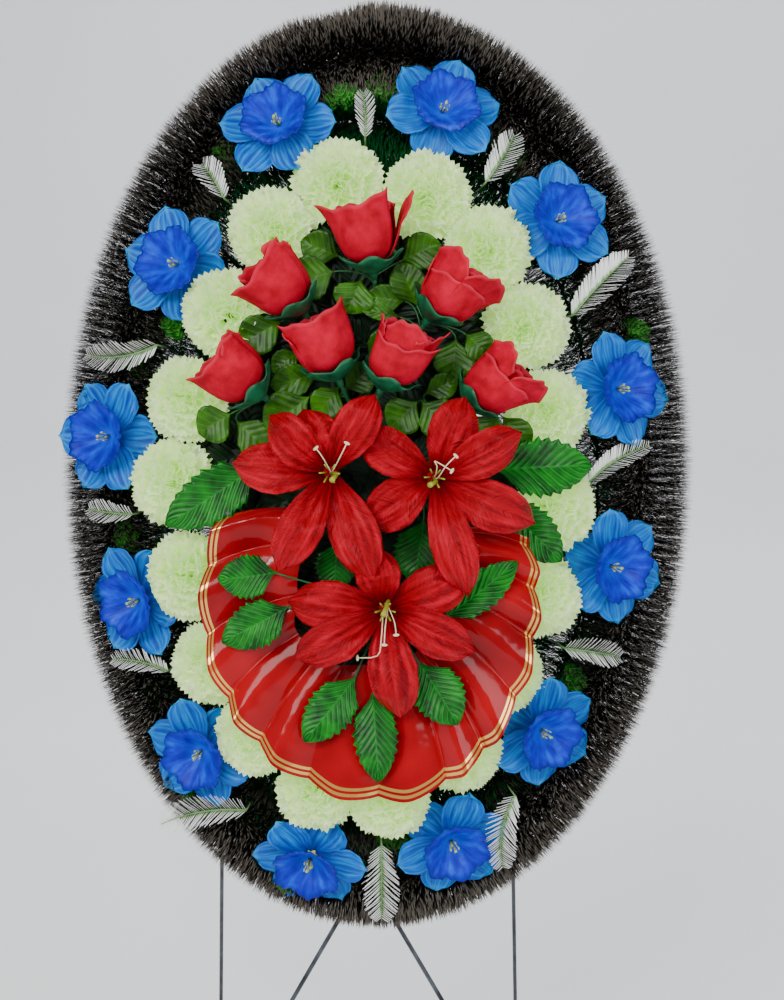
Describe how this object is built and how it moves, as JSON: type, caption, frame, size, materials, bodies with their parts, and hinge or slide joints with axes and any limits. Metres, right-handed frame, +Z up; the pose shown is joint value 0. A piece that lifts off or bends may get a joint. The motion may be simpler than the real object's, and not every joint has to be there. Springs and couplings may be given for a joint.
{
  "type": "funeral wreath",
  "caption": "Standing oval funeral wreath of artificial daffodils, carnations, roses and lilies over a pleated ribbon, with a black needle garland rim, on a leaning wire stand.",
  "frame": {"origin": "middle of the bounding box's footprint, on the floor under the stand", "axes": "+Z up, -Y towards the viewer of the flowers, +X to that viewer's right"},
  "size_m": [0.676, 0.4862, 1.345],
  "materials": {
    "steel_wire": "dark grey painted steel wire, satin",
    "daffodil_petal": "azure printed polyester, paler at the edges",
    "daffodil_trumpet": "royal blue printed polyester, ruffled",
    "carnation": "pale mint polyester with fine toothed edges",
    "satin_ribbon": "glossy red ribbon with gold lines along its edge",
    "rose": "matte red velvet",
    "lily": "crinkled red satin",
    "green_leaf": "glossy green leaves with pressed veins",
    "fern": "white barbs on a green rib",
    "green_garland": "dark green needle garland with small leaves",
    "black_garland": "black needle garland, needle tips silvery"
  },
  "bodies": {
    "root": {"wire_frame": "steel_wire", "front_leg_left": "steel_wire", "front_leg_right": "steel_wire", "rear_leg_left": "steel_wire", "rear_leg_right": "steel_wire", "daffodil_petals_01": "daffodil_petal", "daffodil_petals_02": "daffodil_petal", "daffodil_petals_03": "daffodil_petal", "daffodil_petals_04": "daffodil_petal", "daffodil_petals_05": "daffodil_petal", "daffodil_petals_06": "daffodil_petal", "daffodil_petals_07": "daffodil_petal", "daffodil_petals_08": "daffodil_petal", "daffodil_petals_09": "daffodil_petal", "daffodil_petals_10": "daffodil_petal", "daffodil_petals_11": "daffodil_petal", "daffodil_petals_12": "daffodil_petal", "daffodil_corona_01": "daffodil_trumpet", "daffodil_corona_02": "daffodil_trumpet", "daffodil_corona_03": "daffodil_trumpet", "daffodil_corona_04": "daffodil_trumpet", "daffodil_corona_05": "daffodil_trumpet", "daffodil_corona_06": "daffodil_trumpet", "daffodil_corona_07": "daffodil_trumpet", "daffodil_corona_08": "daffodil_trumpet", "daffodil_corona_09": "daffodil_trumpet", "daffodil_corona_10": "daffodil_trumpet", "daffodil_corona_11": "daffodil_trumpet", "daffodil_corona_12": "daffodil_trumpet", "carnations_1": "carnation", "carnations_2": "carnation", "carnations_3": "carnation", "carnations_4": "carnation", "ribbon": "satin_ribbon", "rose_1": "rose", "rose_2": "rose", "rose_3": "rose", "rose_4": "rose", "rose_5": "rose", "rose_6": "rose", "rose_7": "rose", "lily_1": "lily", "lily_2": "lily", "lily_3": "lily", "rose_greenery": "green_leaf", "lily_greenery": "green_leaf", "fern_01": "fern", "fern_02": "fern", "fern_03": "fern", "fern_04": "fern", "fern_05": "fern", "fern_06": "fern", "fern_07": "fern", "fern_08": "fern", "fern_09": "fern", "fern_10": "fern", "fern_11": "fern", "fern_12": "fern", "green_garland": "green_garland", "black_garland": "black_garland"}
  },
  "joints": []
}
